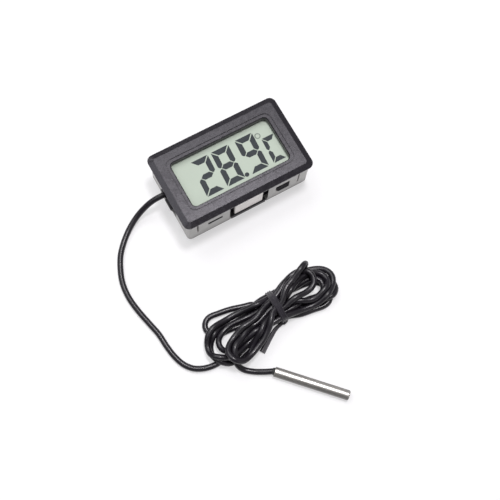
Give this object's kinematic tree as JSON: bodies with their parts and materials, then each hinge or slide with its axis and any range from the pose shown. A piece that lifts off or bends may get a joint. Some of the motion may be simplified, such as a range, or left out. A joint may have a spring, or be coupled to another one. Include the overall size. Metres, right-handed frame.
{
  "type": "panel mounted digital thermometer",
  "caption": "Small rectangular digital thermometer with a liquid crystal display, sliding battery door, panel clips and a wired steel sensor probe.",
  "frame": {"origin": "middle of the housing's flat back, which the meter lies on", "axes": "+X along the long side to the right of the display, +Y towards the top of the display, +Z out through the display"},
  "size_m": [0.0748, 0.0989, 0.0152],
  "materials": {
    "black_plastic": "satin moulded black",
    "grey_plastic": "satin moulded light grey",
    "dark_grey_plastic": "satin moulded grey",
    "white_plastic": "matt moulded off-white",
    "lcd_film": "polarising film",
    "lcd_glass": "clear polished",
    "silver_film": "silvered film",
    "elastomer": "layered conductive rubber",
    "circuit_green": "solder mask",
    "epoxy_black": "cast epoxy",
    "tin_metal": "tin plated",
    "cell_steel": "nickel plated",
    "ceramic_tan": "fired ceramic",
    "resistor_black": "glazed",
    "cable_black": "smooth flexible jacket",
    "wire_red": "smooth insulation",
    "wire_white": "smooth insulation",
    "stainless_steel": "polished stainless steel",
    "seal_black": "cast seal",
    "bead_glass": "dipped bead"
  },
  "bodies": {
    "meter": {"housing": "grey_plastic", "front_frame": "black_plastic", "display_front_film": "lcd_film", "display_front_glass": "lcd_glass", "display_rear_glass": "lcd_glass", "display_rear_film": "silver_film", "contact_strip": "elastomer", "circuit_board": "circuit_green", "chip_cover": "epoxy_black", "watch_crystal": "tin_metal", "resistor_1": "resistor_black", "resistor_2": "resistor_black", "resistor_3": "resistor_black", "capacitor_1": "ceramic_tan", "capacitor_2": "ceramic_tan", "battery_holder": "black_plastic", "battery_end_plate": "white_plastic", "battery_cell_front": "cell_steel", "battery_cell_rear": "cell_steel", "contact_positive": "tin_metal", "contact_negative": "tin_metal", "cable_bushing": "cable_black", "sensor_wire_red": "wire_red", "sensor_wire_white": "wire_white", "sensor_cable_lead": "cable_black", "sensor_cable_hank": "cable_black", "sensor_cable_tail": "cable_black", "twist_tie": "black_plastic", "probe_sheath": "stainless_steel", "probe_seal": "seal_black", "probe_core": "wire_white", "thermistor_bead": "bead_glass"},
    "door": {"battery_door": "dark_grey_plastic", "contact_link": "tin_metal"},
    "clip_left": {"panel_clip_left": "black_plastic"},
    "clip_right": {"panel_clip_right": "black_plastic"}
  },
  "joints": [
    {"name": "door_slide", "type": "slide", "parent": "meter", "child": "door", "axis": [0, -1, 0], "range_m": [0, 0.0235]},
    {"name": "clip_left_flex", "type": "hinge", "parent": "meter", "child": "clip_left", "pos_m": [-0.0224, -0.0021, 0.003], "axis": [0, 1, 0], "range_deg": [0, 12], "stiffness_Nm_per_rad": 0.02},
    {"name": "clip_right_flex", "type": "hinge", "parent": "meter", "child": "clip_right", "pos_m": [0.0224, 0.0021, 0.003], "axis": [0, -1, 0], "range_deg": [0, 12], "stiffness_Nm_per_rad": 0.02}
  ]
}
